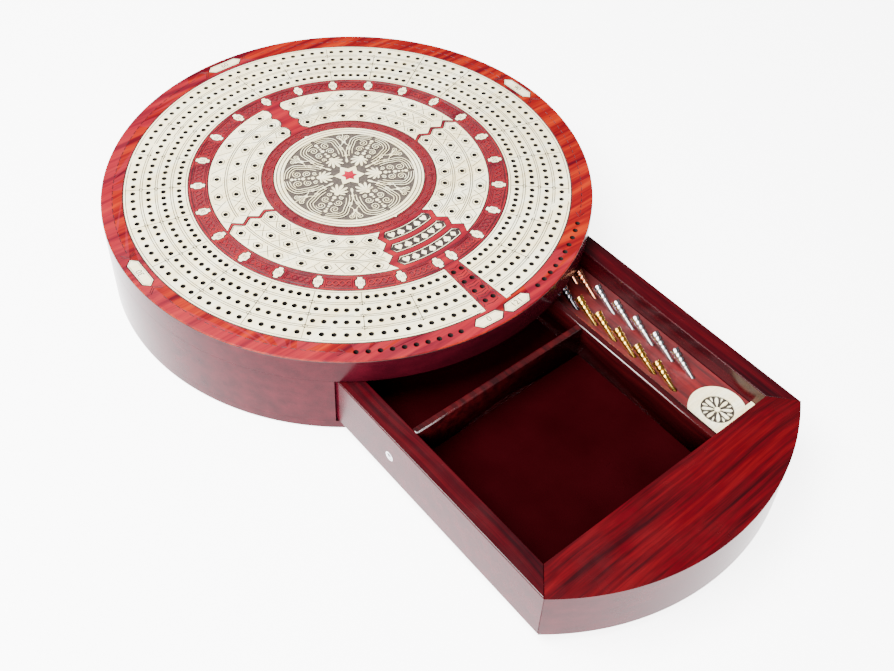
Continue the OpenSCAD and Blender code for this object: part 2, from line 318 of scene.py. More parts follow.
def add_node(tree, kind, inputs=None, **settings):
    made = tree.nodes.new("ShaderNode" + kind)
    for key, value in settings.items():
        setattr(made, key, value)
    for key, value in (inputs or {}).items():
        if isinstance(value, bpy.types.NodeSocket):
            tree.links.new(value, made.inputs[key])
        else:
            made.inputs[key].default_value = value
    return made


def stretched(tree, vector, scale):
    return add_node(tree, "Mapping", {"Vector": vector, "Scale": scale}).outputs["Vector"]


def ramp(tree, value, *stops):
    made = add_node(tree, "ValToRGB", {"Fac": value})
    shades = made.color_ramp.elements
    while len(shades) < len(stops):
        shades.new(0.5)
    for shade, (place, colour) in zip(shades, stops):
        shade.position = place
        shade.color = colour
    return made.outputs["Color"]


def new_group(name, inputs, outputs):
    tree = bpy.data.node_groups.new(name, "ShaderNodeTree")
    for socket, kind in inputs.items():
        tree.interface.new_socket(socket, in_out="INPUT", socket_type="NodeSocket" + kind)
    for socket, kind in outputs.items():
        tree.interface.new_socket(socket, in_out="OUTPUT", socket_type="NodeSocket" + kind)
    return tree, tree.nodes.new("NodeGroupInput").outputs, tree.nodes.new("NodeGroupOutput").inputs


print("node helpers ready")

# %% [markdown]
# ## What all the woods share
# Sawn wood shows three things at once: dark streaks a few millimetres wide that run with the grain, fine
# fibres, and slow clouds of lighter and darker wood. One node group makes all three from coordinates
# whose X runs along the grain, and each wood mixes them with its own colours. A second group makes the
# faint unevenness of handling and dust that keeps any finish from looking sprayed on.

# %% Wood figure and handling groups
def make_wood_figure():
    tree, given, result = new_group("wood_figure", {"Vector": "Vector", "Streaks per m": "Float"},
                                    {"Streak": "Float", "Fibre": "Float", "Cloud": "Float"})
    drift = add_node(tree, "TexNoise", {"Vector": given["Vector"], "Scale": 9.0, "Detail": 1.0})
    bend = add_node(tree, "VectorMath", {0: drift.outputs["Color"], 1: (0.012, 0.012, 0.012)},
                    operation="MULTIPLY")
    vector = add_node(tree, "VectorMath", {0: given["Vector"], 1: bend.outputs[0]},
                      operation="ADD").outputs[0]
    squeeze = add_node(tree, "CombineXYZ", {"X": 9.0, "Y": given["Streaks per m"],
                                            "Z": given["Streaks per m"]})
    along = add_node(tree, "VectorMath", {0: vector, 1: squeeze.outputs[0]}, operation="MULTIPLY")
    streak = add_node(tree, "TexNoise", {"Vector": along.outputs[0], "Scale": 1.0, "Detail": 3.0,
                                         "Roughness": 0.6})
    fibre = add_node(tree, "TexNoise", {"Vector": stretched(tree, vector, (70, 2400, 2400)),
                                        "Scale": 1.0, "Detail": 2.0})
    cloud = add_node(tree, "TexNoise", {"Vector": stretched(tree, vector, (9, 26, 26)), "Scale": 1.0})
    for name, texture in (("Streak", streak), ("Fibre", fibre), ("Cloud", cloud)):
        tree.links.new(texture.outputs["Fac"], result[name])
    return tree


def make_handling():
    tree, given, result = new_group("handling", {"Vector": "Vector", "Low": "Float", "High": "Float"},
                                    {"Roughness": "Float"})
    smear = add_node(tree, "TexNoise", {"Vector": given["Vector"], "Scale": 60.0, "Detail": 4.0})
    spread = add_node(tree, "MapRange", {"Value": smear.outputs["Fac"], "From Min": 0.3,
                                         "From Max": 0.7, "To Min": given["Low"],
                                         "To Max": given["High"]})
    tree.links.new(spread.outputs["Result"], result["Roughness"])
    return tree


wood_figure = make_wood_figure()
handling = make_handling()
print("groups:", wood_figure.name, handling.name)

# %% [markdown]
# ## Timber
# Every wood on the board is one recipe: a dark, a middle and a light colour laid out by the streaks,
# fibres that shift the tone a little and lift the surface by hundredths of a millimetre, and a finish
# from dead matt to deep lacquer. The grain runs along X, or is turned to run along Y.

# %% Timber materials
TURNS = {"X": (0, 0, 0), "Y": (0, 0, math.pi / 2)}
FIBRE_DEPTH = 0.02 * MM


def new_material(name):
    material = bpy.data.materials.new(name)
    material.use_nodes = True
    tree = material.node_tree
    shader = tree.nodes["Principled BSDF"]
    place = add_node(tree, "TexCoord").outputs["Object"]
    return material, tree, shader, place


def rough_from(tree, shader, place, low, high):
    spots = add_node(tree, "Group", {}, node_tree=handling)
    tree.links.new(place, spots.inputs["Vector"])
    spots.inputs["Low"].default_value = low
    spots.inputs["High"].default_value = high
    tree.links.new(spots.outputs["Roughness"], shader.inputs["Roughness"])


def timber(name, dark, middle, light, along="X", streaks=230.0, contrast=0.16, rough=(0.3, 0.45),
           coat=0.0, ior=1.5, cloud=0.8):
    material, tree, shader, place = new_material(name)
    turn = add_node(tree, "Mapping", {"Vector": place, "Rotation": TURNS[along]}).outputs["Vector"]
    figure = add_node(tree, "Group", {}, node_tree=wood_figure)
    tree.links.new(turn, figure.inputs["Vector"])
    figure.inputs["Streaks per m"].default_value = streaks
    colour = ramp(tree, figure.outputs["Streak"], (0.5 - contrast, paint(*dark)),
                  (0.5, paint(*middle)), (0.5 + contrast, paint(*light)))
    shade = ramp(tree, figure.outputs["Cloud"], (0.3, (cloud, cloud, cloud, 1)), (0.7, (1, 1, 1, 1)))
    clouded = add_node(tree, "Mix", {"Factor": 1.0}, data_type="RGBA", blend_type="MULTIPLY")
    tree.links.new(colour, clouded.inputs["A"])
    tree.links.new(shade, clouded.inputs["B"])
    thread = ramp(tree, figure.outputs["Fibre"], (0.35, (0.8, 0.8, 0.8, 1)), (0.6, (1, 1, 1, 1)))
    toned = add_node(tree, "Mix", {"Factor": 1.0}, data_type="RGBA", blend_type="MULTIPLY")
    tree.links.new(clouded.outputs["Result"], toned.inputs["A"])
    tree.links.new(thread, toned.inputs["B"])
    tree.links.new(toned.outputs["Result"], shader.inputs["Base Color"])
    rough_from(tree, shader, place, *rough)
    grain = add_node(tree, "Bump", {"Height": figure.outputs["Fibre"], "Strength": 0.4,
                                    "Distance": FIBRE_DEPTH})
    tree.links.new(grain.outputs["Normal"], shader.inputs["Normal"])
    shader.inputs["IOR"].default_value = ior
    shader.inputs["Coat Weight"].default_value = coat
    shader.inputs["Coat Roughness"].default_value = 0.08
    return material


bloodwood = timber("bloodwood", (72, 3, 18), (122, 15, 13), (154, 40, 10), streaks=190.0,
                   rough=(0.34, 0.48), ior=1.25)
ring_bloodwood = timber("ring_bloodwood", (92, 8, 26), (128, 16, 30), (146, 28, 32), streaks=190.0,
                        rough=(0.36, 0.5), ior=1.35)
maple = timber("maple", (250, 233, 182), (255, 243, 200), (255, 249, 216), streaks=160.0,
               rough=(0.4, 0.55), ior=1.35)
wall_wood = timber("lacquered_wall", (44, 6, 15), (60, 9, 20), (74, 13, 25), streaks=120.0,
                   contrast=0.3, rough=(0.2, 0.21), ior=1.15, cloud=0.95)
core_wood = timber("core_wood", (38, 4, 8), (58, 8, 12), (74, 12, 16), streaks=160.0,
                   rough=(0.35, 0.5))
print("timbers:", [m.name for m in (bloodwood, ring_bloodwood, maple, wall_wood, core_wood)])

# %% [markdown]
# ## Burnt wood and painted shade
# A laser cuts the pattern, so every groove and hole wall is scorched, nearly black in the deep cuts and
# a little lighter in the fine lines. The scorch has no gloss, and it is mottled, because the beam bites
# harder into the soft part of each growth ring. The two shaded finishes are painted shade: a darker,
# mottled colour laid on the sunk grounds of the relief to stand in for the shade that falls there.

# %% Scorched materials and painted shade
def scorched(name, deep, pale, rough=(0.65, 0.85)):
    # Makes the scorch of cuts and holes, and also the painted shade of the sunk grounds
    material, tree, shader, place = new_material(name)
    soot_and_shade_mottle = add_node(tree, "TexNoise", {"Vector": place, "Scale": 900.0, "Detail": 3.0})
    colour = ramp(tree, soot_and_shade_mottle.outputs["Fac"], (0.35, paint(*deep)), (0.65, paint(*pale)))
    tree.links.new(colour, shader.inputs["Base Color"])
    rough_from(tree, shader, place, *rough)
    grit = add_node(tree, "Bump", {"Height": soot_and_shade_mottle.outputs["Fac"], "Strength": 0.5,
                                   "Distance": 0.00004})
    tree.links.new(grit.outputs["Normal"], shader.inputs["Normal"])
    return material


burnt_maple = scorched("burnt_maple", (22, 17, 12), (44, 34, 24))
burnt_edge = scorched("burnt_edge", (20, 10, 8), (36, 20, 15))
burnt_bloodwood = scorched("burnt_bloodwood", (34, 3, 8), (62, 7, 16))
# The two shaded finishes are painted shade: a darker colour on sunk grounds where shade falls
shaded_bloodwood = scorched("shaded_bloodwood", (78, 8, 18), (104, 14, 24), rough=(0.45, 0.6))
shaded_maple = scorched("shaded_maple", (52, 44, 38), (74, 64, 56))
hole_wall = scorched("hole_wall", (10, 7, 6), (28, 20, 16))
print("scorched finishes ready")

# %% [markdown]
# ## Outlines of the playing face
# Each inlay is cut from an outline, and the same outline cuts its window in the bloodwood, so the two
# always fit. An outline is worked out from radii and angles. The scoring fields end in steps that go in
# and out lane by lane.

# %% Lanes, windows and plaques
STRIP_MID, STRIP_RISE, STRIP_HALF = 2.7, 1.6, 1.0
GAP_HALF, NOTCH_HALF = 4.5, 7.5
TALLY_CORNER, TALLY_TIP = 17.0, 20.2
LABEL_CORNER, LABEL_TIP, LABEL_HALF = 14.5, 16.4, 3.7


def degrees_for(length, r):
    return math.degrees(length / r)


def soften(points, reach, steps=3):
    path = [points[0]]
    for before, corner, after in zip(points, points[1:], points[2:]):
        corner = Vector(corner)
        legs = [Vector(p) - corner for p in (before, after)]
        start, end = [corner + leg.normalized() * min(reach, leg.length / 2) for leg in legs]
        for i in range(steps + 1):
            t = i / steps
            path.append(tuple(start * (1 - t) ** 2 + corner * 2 * t * (1 - t) + end * t * t))
    return path + [points[-1]]


def lane_steps(low, high):
    path = [(FIELD_IN, low)]
    for mid in LANES:
        path += [(mid, high), (mid + LANE_W / 2, low)]
    return path


def strip_edge(side):
    low, high = STRIP_MID - STRIP_RISE, STRIP_MID + STRIP_RISE
    return [polar(r, a + side * degrees_for(STRIP_HALF, r)) for r, a in lane_steps(low, high)]


def angle_of(point):
    return math.degrees(math.atan2(point[1], point[0]))


def rear_field():
    gap = [(NOTCH_HALF - 0.3, math.sqrt(FIELD_OUT ** 2 - (NOTCH_HALF - 0.3) ** 2))]
    for mid in reversed(LANES):
        gap += [(GAP_HALF, mid + 0.22 * LANE_W), (GAP_HALF, mid - 0.22 * LANE_W),
                (NOTCH_HALF, mid - 0.5 * LANE_W)]
    gap[-1] = (NOTCH_HALF, math.sqrt(FIELD_IN ** 2 - NOTCH_HALF ** 2))
    edge = strip_edge(1)
    outer = arc(FIELD_OUT, angle_of(edge[-1]), angle_of(gap[0]))[1:-1]
    inner = arc(FIELD_IN, angle_of(gap[-1]), angle_of(edge[0]))[1:-1]
    return soften(edge, 0.8) + outer + soften(gap, 1.6) + inner


def front_field():
    tally = [polar(r, a - 90) for r, a in reversed(lane_steps(TALLY_CORNER, TALLY_TIP))]
    edge = strip_edge(-1)
    outer = arc(FIELD_OUT, angle_of(edge[-1]), TALLY_CORNER - 90)[1:-1]
    inner = arc(FIELD_IN, TALLY_CORNER - 90, angle_of(edge[0]))[1:-1]
    return soften(edge, 0.8) + outer + tally + inner


def mirrored(points):
    return [(-x, y) for x, y in points]


def track_outline():
    half = START_ARC / 2
    return arc(TRACK_OUT, half - 90, 270 - half) + arc(TRACK_IN, 270 - half, half - 90)


def medallion_outline():
    cusp = 1.94
    left = arc(MEDALLION_R, 90 + cusp, 270 - cusp) + [(0, -MEDALLION_R - 1.1)]
    return left + arc(MEDALLION_R, 270 + cusp, 450 - cusp) + [(0, MEDALLION_R + 1.1)]


def hexagon(length, width, point):
    half, side = length / 2, width / 2
    return [(-half, 0), (point - half, side), (half - point, side),
            (half, 0), (half - point, -side), (point - half, -side)]


def label_outline(mid, grow=0.0):
    tip, corner = LABEL_TIP + grow / 3, LABEL_CORNER + grow / 4
    half = LABEL_HALF + grow
    return (arc(mid + half, 270 - corner, 270 + corner) + [polar(mid, 270 + tip)]
            + arc(mid - half, 270 + corner, 270 - corner) + [polar(mid, 270 - tip)])


def plaque_angle(k):
    return 270 + START_ARC / 2 + GROUP_ARC * k


QUARTER_PLAQUE = [(4.7, 0.9), (4.2, 1.7), (2.9, 1.7), (2.5, 2.5), (1.8, 3.0)]
HALF_PLAQUE = QUARTER_PLAQUE + [(-x, y) for x, y in reversed(QUARTER_PLAQUE)]
PLAQUE = HALF_PLAQUE + [(x, -y) for x, y in reversed(HALF_PLAQUE)]
CORNER_PLAQUE, CORNER_ANGLES = (25.7, 7.5, 3.6), (0, 88.6, -88.6)
END_PLAQUE, END_ANGLE = (20, 7.6, 3.4), 4.1
STAR = [polar(5.2 if i % 2 == 0 else 3.12, 90 + 30 * i) for i in range(12)]
plaques = [turned(PLAQUE, plaque_angle(k), (PLAQUE_R, 0)) for k in range(GROUPS + 1)]
corner_plaques = [turned(hexagon(*CORNER_PLAQUE), a, (0, RIM_R)) for a in CORNER_ANGLES]
end_plaques = [turned(hexagon(*END_PLAQUE), 180 + side * END_ANGLE, (0, RIM_R)) for side in (-1, 1)]


def with_left(right):
    return right | {name.replace("right", "left"): mirrored(points) for name, points in right.items()}


fields = with_left({"rear_right": rear_field(), "front_right": front_field()})
labels = [label_outline(mid) for mid in LANES]
print("fields:", list(fields), "plaques:", len(plaques))

# %% [markdown]
# ## The peg holes
# There are 480 holes in four tracks, eight start holes, twenty along the front rim and 84 in the scoring
# fields. The tracks are counted in groups of five, with a wider step between groups.

# %% Hole centres
def track_holes():
    for r in TRACKS:
        pitch = (math.radians(GROUP_ARC) * r - 6.7) / 4
        for k in range(GROUPS):
            for i in range(5):
                yield polar(r, plaque_angle(k) + degrees_for(3.35 + i * pitch, r))


def field_angles(rear):
    return [11.1 + 11.6 * i if rear else -2.4 - 10.5 * i for i in range(7)]


def field_holes(rear):
    return [polar(mid, a) for mid in LANES for a in field_angles(rear)]


track_centres = list(track_holes())
start_centres = [(x, -r) for r in TRACKS for x in (-2.9, 2.9)]
rim_centres = [polar(RIM_R, 270 + side * (11.4 + 2.62 * i)) for side in (-1, 1) for i in range(10)]
field_centres = with_left({"rear_right": field_holes(True), "front_right": field_holes(False)})
every_centre = track_centres + start_centres + rim_centres + sum(field_centres.values(), [])
print("peg holes:", len(every_centre))

# %% [markdown]
# ## Cutting tools
# Carving sinks a background and leaves lines standing. Here the background is cut with a plate, and the
# lines are swept bars that stand on it, with a flat top and slightly sloping sides, each layer a hair
# lower than the last. The V-tool for engraving is a bar with a diamond section, sunk to its middle.
# Lines that cross are cut in separate layers, because a cutter whose own bars cross can hang the solver.

# %% Tools for engraving and relief
def section(name, corners):
    shape, curve = new_curve(name, flat=True)
    add_path(curve, corners, closed=True)
    return shape


def sweep(name, strokes, corners, z):
    shape = section(name + "_section", corners)
    piece, curve = new_curve(name, flat=False)
    curve.twist_mode = "Z_UP"
    curve.bevel_mode = "OBJECT"
    curve.bevel_object = shape
    curve.use_fill_caps = True
    for points, closed in strokes:
        add_path(curve, points, closed, z)
    pick(piece)
    bpy.ops.object.convert(target="MESH")
    discard(shape)
    return weld(settle(bpy.context.object, name))


def closed_lines(outlines):
    return [(points, True) for points in outlines]


def engrave(piece, half, top, *layers):
    corners = [(half, 0), (0, half), (-half, 0), (0, -half)]
    for strokes in layers:
        carve(piece, sweep("v_tool", strokes, corners, top))
    return piece


def standing_lines(piece, half, depth, top, *layers):
    slope = 0.12
    corners = [(half + slope, -depth - 0.1), (half - slope, 0), (slope - half, 0),
               (-half - slope, -depth - 0.1)]
    strands = [sweep("strands", strokes, corners, top - 0.006 * (i + 1))
               for i, strokes in enumerate(layers)]
    return join([piece] + strands, piece.name)


def drop(centre, length, width, angle, count=14):
    path = []
    for i in range(count):
        t = 2 * math.pi * i / count
        x = length * (1 - math.cos(t)) / 2
        y = width / 2 * math.sin(t) * math.sin(t / 2) ** 1.2
        path.append((x, y))
    return [(centre[0] + x, centre[1] + y) for x, y in turned(path, angle)]


# %% [markdown]
# ## Finishing a cut piece
# After the cuts, each face gets its finish from where it lies: the top keeps the wood, the slopes and
# walls of a cut are scorched, and a sunk background is shaded.

# %% Finishes by place
def set_finishes(piece, finishes, choose):
    piece.data.materials.clear()
    names = list(finishes)
    for finish in finishes.values():
        piece.data.materials.append(finish)
    for face in piece.data.polygons:
        face.material_index = names.index(choose(face.center / MM, face.normal))


def inlay_finish(top, ground_below=0.05):
    def choose(centre, normal):
        if abs(normal.z) < 0.3:
            return "wall"
        if centre.z > top - ground_below or normal.z < 0:
            return "wood"
        return "ground" if normal.z > 0.99 else "groove"
    return choose


def inlay(node, name, wood, groove, ground=None, choose=None):
    piece = bpy.data.objects[name]
    finishes = {"wood": wood, "groove": groove, "ground": ground or groove, "wall": burnt_edge}
    set_finishes(piece, finishes, choose or inlay_finish(TOP))
    smooth(piece)
    return place_piece(piece, node, "board")


def place_piece(piece, node, body):
    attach(piece, body)
    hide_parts(*([node] if isinstance(node, str) else node))
    print(piece.name, "faces:", len(piece.data.polygons))
    return piece


# %% [markdown]
# ## The track ring
# The maple ring carries the four tracks. It is one plate, bored through, with pairs of fine lines between
# the tracks and a cross line with small diamonds at every fifth hole.

# %% Track ring
SEAM, BOLD, FINE = 0.42, 0.26, 0.22
LINE_PAIRS = [(128.9, 127.6), (119.7, 118.5), (110.5, 109.1)]


def diamond(r, angle, half):
    return [polar(r - half, angle), polar(r, angle + degrees_for(half, r)),
            polar(r + half, angle), polar(r, angle - degrees_for(half, r))]


def track_lines():
    half = START_ARC / 2 + 0.5
    angles = [plaque_angle(k) for k in range(1, GROUPS)]
    rings = [TRACK_OUT - 1.6, TRACK_IN + 1.5] + [r for pair in LINE_PAIRS for r in pair]
    middles = [sum(pair) / 2 for pair in LINE_PAIRS]
    yield [(arc(r, half - 90, 270 - half), False) for r in rings]
    yield [([polar(TRACK_IN + 1.5, a), polar(TRACK_OUT - 1.6, a)], False) for a in angles]
    yield [(diamond(r, a, 1.5), True) for r in middles for a in angles]


track_ring = plate("track_ring", [track_outline()], CORE_TOP, TOP)
carve(track_ring, drill(track_centres, HOLE_R, CORE_TOP - 1, TOP + 1))
engrave(track_ring, FINE, TOP, *track_lines())
engrave(track_ring, SEAM, TOP, [(track_outline(), True)])


def track_walls(centre, normal):
    kind = inlay_finish(TOP)(centre, normal)
    return "hole" if kind == "wall" else kind


BORED_MAPLE = {"wood": maple, "groove": burnt_maple, "ground": burnt_maple, "hole": hole_wall}
set_finishes(track_ring, BORED_MAPLE, track_walls)
smooth(track_ring)
place_piece(track_ring, "track_inlay", "board")

# %% [markdown]
# ## The scoring fields
# Four maple fields of three lanes each. Every hole sits in a small six-sided frame inside a larger one
# whose tips touch the next, so that a lane reads as a chain of leaves.

# %% Scoring fields
def leaf(mid, angle, reach, height, corner):
    points = [(0, -reach), (height, -corner), (height, corner),
              (0, reach), (-height, corner), (-height, -corner)]
    return [polar(mid + up, angle + degrees_for(along, mid)) for up, along in points]


def field_lines(rear):
    angles = field_angles(rear)
    small = [(leaf(mid, a, 3.4, 2.3, 1.5), True) for mid in LANES for a in angles]
    ends = (angles[0] - 4, angles[-1] + 4) if rear else (angles[0] + 2, angles[-1] - 4)
    for k in (1, 2):
        edge = FIELD_IN + LANE_W * k
        small += [(arc(r, *ends), False) for r in (edge - 0.65, edge + 0.65)]
    yield small
    for first in (0, 1):
        large = []
        for mid in LANES:
            half_pitch = mid * math.radians(abs(angles[1] - angles[0])) / 2
            large += [(leaf(mid, a, half_pitch, 3.7, half_pitch - 3.2), True) for a in angles[first::2]]
        yield large


def mirrored_strokes(strokes):
    return [(mirrored(points), closed) for points, closed in strokes]


for name, outline in fields.items():
    rear = name.startswith("rear")
    lines = list(field_lines(rear))
    if name.endswith("left"):
        lines = [mirrored_strokes(layer) for layer in lines]
    field = plate("lanes_" + name, [outline], CORE_TOP, TOP)
    carve(field, drill(field_centres[name], HOLE_R, CORE_TOP - 1, TOP + 1))
    engrave(field, BOLD, TOP, *lines)
    engrave(field, SEAM, TOP, [(outline, True)])
    set_finishes(field, BORED_MAPLE, track_walls)
    smooth(field)
    place_piece(field, "score_field_" + name, "board")

# %% [markdown]
# ## The medallion
# Six-fold scrollwork fills the middle. A sixth part is drawn once along the X axis: a palmette with its
# petals towards the centre, a chain of beads, and scrolls to both sides under three nested arches. It is
# turned six times, and the ground between its lines is sunk and shaded.

# %% Medallion ornament
GROUND_R = 41.2
RELIEF = 0.6
SECTOR = 60


def both_sides(points):
    return [points, flipped(points)]


def sector_lines():
    lines = []
    for knots in ([(14.6, 8.3), (20.5, 11.2), (27.5, 12.4), (34.2, 13.0), (39.0, 8.4), (40.7, 1.0)],
                  [(17.0, 7.6), (22.5, 9.9), (28.2, 10.8), (33.6, 11.3), (37.6, 7.4), (39.1, 1.3)],
                  [(20.2, 6.9), (24.6, 8.6), (29.0, 9.2), (33.0, 9.6), (36.2, 6.4), (37.5, 1.6)]):
        lines += both_sides(flowing(knots, 6))
    for centre, outer, start, turns in (((32.4, 4.6), 3.1, 60, -1.7), ((26.2, 4.3), 2.7, -60, 1.7),
                                        ((21.4, 4.2), 1.6, -150, 1.4)):
        lines += both_sides(spiral(centre, outer, 0.35, start, turns, 20))
    for centre, outer, start, turns in (((37.8, 2.7), 2.1, 180, 1.6), ((26.6, 1.9), 1.3, 200, -1.3)):
        for points in both_sides(spiral(centre, outer, 0.3, start, turns, 18)):
            lines.append(turned(points, SECTOR / 2))
    for side in both_sides(flowing([(22.2, 1.9), (27.6, 3.6), (31.0, 1.2), (34.6, 0.9)], 5)):
        lines.append(turned(side, SECTOR / 2))
    lines.append(turned([(35.0, 0), (41.0, 0)], SECTOR / 2))
    return lines


def sector_shapes():
    shapes = [drop((18.4, 0), -length, width, angle) for length, width, angle in (
        (8.6, 2.9, 0), (8.2, 2.4, 27), (8.2, 2.4, -27), (6.8, 2.1, 54), (6.8, 2.1, -54),
        (5.2, 1.8, 83), (5.2, 1.8, -83))]
    shapes.append(turned(ring(1.6, 12), 0, (19.0, 0)))
    for x, r in ((22.9, 1.3), (25.4, 0.8), (28.9, 1.3), (31.4, 0.8), (33.8, 0.8), (36.0, 1.2)):
        shapes.append(turned(ring(r, 10), 0, (x, 0)))
    for x, r in ((19.4, 1.1), (21.8, 0.8), (32.8, 1.1)):
        shapes.append(turned(ring(r, 10), SECTOR / 2, (x, 0)))
    shapes.append(turned(drop((17.6, 0), -5.2, 2.2, 0), SECTOR / 2))
    for side in (-1, 1):
        shapes.append(turned(drop((33.6, 0), 4.0, 1.6, side * 38), SECTOR / 2))
    return shapes


def all_round(points):
    return [turned(points, SECTOR * k + 30) for k in range(6)]


def raise_ornament(disc):
    carve(disc, plate("ground", [ring(GROUND_R, 120)], TOP - RELIEF, TOP + 1))
    layers = [[(points, False) for points in all_round(line)] for line in sector_lines()]
    disc = standing_lines(disc, 0.36, RELIEF, TOP, *layers)
    shapes = [plate("shape", all_round(shape), TOP - RELIEF - 0.1, TOP - 0.004 * (i + 1))
              for i, shape in enumerate(sector_shapes())]
    white_star = [polar(9.8 if i % 2 == 0 else 6.2, 90 + 30 * i) for i in range(12)]
    shapes.append(plate("white_star", [white_star, STAR], TOP - RELIEF - 0.1, TOP))
    return join([disc] + shapes, disc.name)


medallion_disc = plate("medallion_disc", [medallion_outline()], CORE_TOP, TOP)
carve(medallion_disc, plate("star_window", [STAR], CORE_TOP - 1, TOP + 1))
raise_ornament(medallion_disc)
engrave(medallion_disc, 0.3, TOP, [(ring(43.1, 120), True), (ring(45.4, 120), True)])
engrave(medallion_disc, SEAM, TOP, [(medallion_outline(), True)])


def medallion_choice(centre, normal):
    inside = math.hypot(centre.x, centre.y) < GROUND_R + 0.3
    return inlay_finish(TOP, 0.3 if inside else 0.05)(centre, normal)


inlay("medallion", "medallion_disc", maple, burnt_edge, ground=shaded_maple, choose=medallion_choice)

# %% [markdown]
# ## Plaques and labels
# Small maple plaques carry the counts by fives, and three dark labels mark the lanes of the scoring
# fields with rows of card suits. Figures are drawn as text, made a mesh, and cut in like any line.

# %% Figures
FIGURE_DEPTH = 0.35


def figure_tool(words):
    parts = []
    for body, size, angle, shift in words:
        bpy.ops.object.text_add(location=(0, 0, 0))
        text = bpy.context.object
        text.data.body = body
        text.data.size = size * MM
        text.data.extrude = FIGURE_DEPTH * MM
        text.data.align_x = "CENTER"
        text.data.align_y = "CENTER"
        pick(text)
        bpy.ops.object.convert(target="MESH")
        text = bpy.context.object
        turn = Matrix.Rotation(math.radians(angle), 4, "Z")
        text.matrix_world = turn @ Matrix.Translation(Vector((shift[0], shift[1], TOP)) * MM)
        parts.append(weld(settle(text)))
    return join(parts, "figures")


plaque_words = [(str(5 * k), 3.8 if k < 20 else 3.0, plaque_angle(k) + 90, (0, -PLAQUE_R))
                for k in range(GROUPS + 1)]
count_plaques = plate("count_plaques", plaques, CORE_TOP, TOP)
engrave(count_plaques, SEAM, TOP, closed_lines(plaques))
carve(count_plaques, figure_tool(plaque_words))
inlay("number_plaques", "count_plaques", maple, burnt_edge)

# %% Rim plaques
FIGURE = 5.4
FRAME_LINE = 0.14


def framed_plaque(name, node, outlines, frames, words):
    piece = plate(name, outlines, CORE_TOP, TOP)
    engrave(piece, SEAM, TOP, closed_lines(outlines))
    engrave(piece, FRAME_LINE, TOP, closed_lines(frames))
    carve(piece, figure_tool(words))
    return inlay(node, name, maple, burnt_edge)


def rim_frame(length, width, point, angle):
    return turned(hexagon(length - 2.4, width - 1.9, point * 0.8), angle, (0, RIM_R))


framed_plaque("rim_corner_plaques", "corner_plaques", corner_plaques,
              [rim_frame(*CORNER_PLAQUE, a) for a in CORNER_ANGLES],
              [(body, FIGURE, a, (0, RIM_R)) for body, a in zip(("60", "30", "90"), CORNER_ANGLES)])
for word, body, side in (("start", "0", -1), ("finish", "121", 1)):
    outline = end_plaques[:1] if side < 0 else end_plaques[1:]
    framed_plaque("rim_" + word + "_plaque", word + "_plaque", outline,
                  [rim_frame(*END_PLAQUE, 180 + side * END_ANGLE)],
                  [(body, FIGURE, side * END_ANGLE, (0, -RIM_R))])

# %% [markdown]
# ## Suit labels
# Each label is dark, with its suits standing flush in pale maple. A suit is drawn from a few arcs: a
# heart and a spade share a shape, a club is three discs, and a diamond is four points.

# %% Suit shapes
def heart(size):
    half = [(0, -1.0), (0.45, -0.5), (0.85, -0.02), (0.98, 0.4), (0.78, 0.78), (0.45, 0.86),
            (0.16, 0.74), (0, 0.48)]
    whole = half + [(-x, y) for x, y in reversed(half[1:-1])]
    return [(x * size, y * size) for x, y in whole]


def stem(size):
    return [(0.12 * size, 0), (0.42 * size, -size), (-0.42 * size, -size), (-0.12 * size, 0)]


def suit(kind, size):
    if kind == "heart":
        return [heart(size)]
    if kind == "spade":
        return [[(x, 0.12 * size - y) for x, y in heart(size * 0.92)], stem(size)]
    if kind == "diamond":
        return [[(0.8 * size, 0), (0, size), (-0.8 * size, 0), (0, -size)]]
    lobes = [turned(ring(0.5 * size, 14), 0, place) for place in
             ((0, 0.5 * size), (0.5 * size, -0.15 * size), (-0.5 * size, -0.15 * size))]
    return lobes + [stem(size)]


def label_tool(mid, count):
    tool = plate("label_ground", [label_outline(mid, -0.75)], TOP - 0.5, TOP + 1)
    kinds = ["heart", "club", "diamond", "spade"]
    step = 2 * LABEL_CORNER / count
    for i in range(count):
        angle = step * (i - (count - 1) / 2)
        for shape in suit(kinds[i % 4], 2.35):
            carve(tool, plate("suit", [turned(shape, angle, (0, -mid))], TOP - 1, TOP + 2))
    return tool


for node, mid, count in (("tally_label_inner", LANES[0], 5), ("tally_label_middle", LANES[1], 6),
                         ("tally_label_outer", LANES[2], 7)):
    name = node.replace("tally_label", "suit_label")
    label = plate(name, [label_outline(mid)], CORE_TOP, TOP)
    carve(label, label_tool(mid, count))
    engrave(label, SEAM, TOP, [(label_outline(mid), True)])
    inlay(node, name, maple, burnt_edge, ground=burnt_edge)

# %% [markdown]
# ## The star
# A small bloodwood star sits in the middle of the medallion.

# %% Star
engrave(plate("centre_star_inlay", [STAR], CORE_TOP, TOP), 0.2, TOP, [(STAR, True)])
star_red = timber("star_red", (140, 10, 36), (176, 16, 48), (196, 30, 58), rough=(0.3, 0.4),
                  coat=0.3)
inlay("medallion_star", "centre_star_inlay", star_red, burnt_bloodwood)

# %% [markdown]
# ## The bloodwood face
# One disc of bloodwood holds every inlay. Its outer edge is eased, its windows are cut with the inlays'
# own outlines, and then it is decorated: rope panels between the count plaques, spirals round the
# medallion, chevrons beside the corner plaques, and a dashed line along the rim.

# %% Face disc with its windows
def round_disc(name, radius, low, high, ease, sides=240):
    bpy.ops.mesh.primitive_cylinder_add(vertices=sides, radius=radius * MM, depth=(high - low) * MM,
                                        location=(0, 0, (low + high) / 2 * MM))
    disc = settle(bpy.context.object, name)
    marks = disc.data.attributes.new("bevel_weight_edge", "FLOAT", "EDGE")
    for edge in disc.data.edges:
        heights = [disc.data.vertices[v].co.z / MM for v in edge.vertices]
        for level, size in ease.items():
            if all(abs(z - level) < 0.01 for z in heights):
                marks.data[edge.index].value = size / max(ease.values())
    return apply_modifier(disc, "BEVEL", width=max(ease.values()) * MM, segments=3,
                          limit_method="WEIGHT")


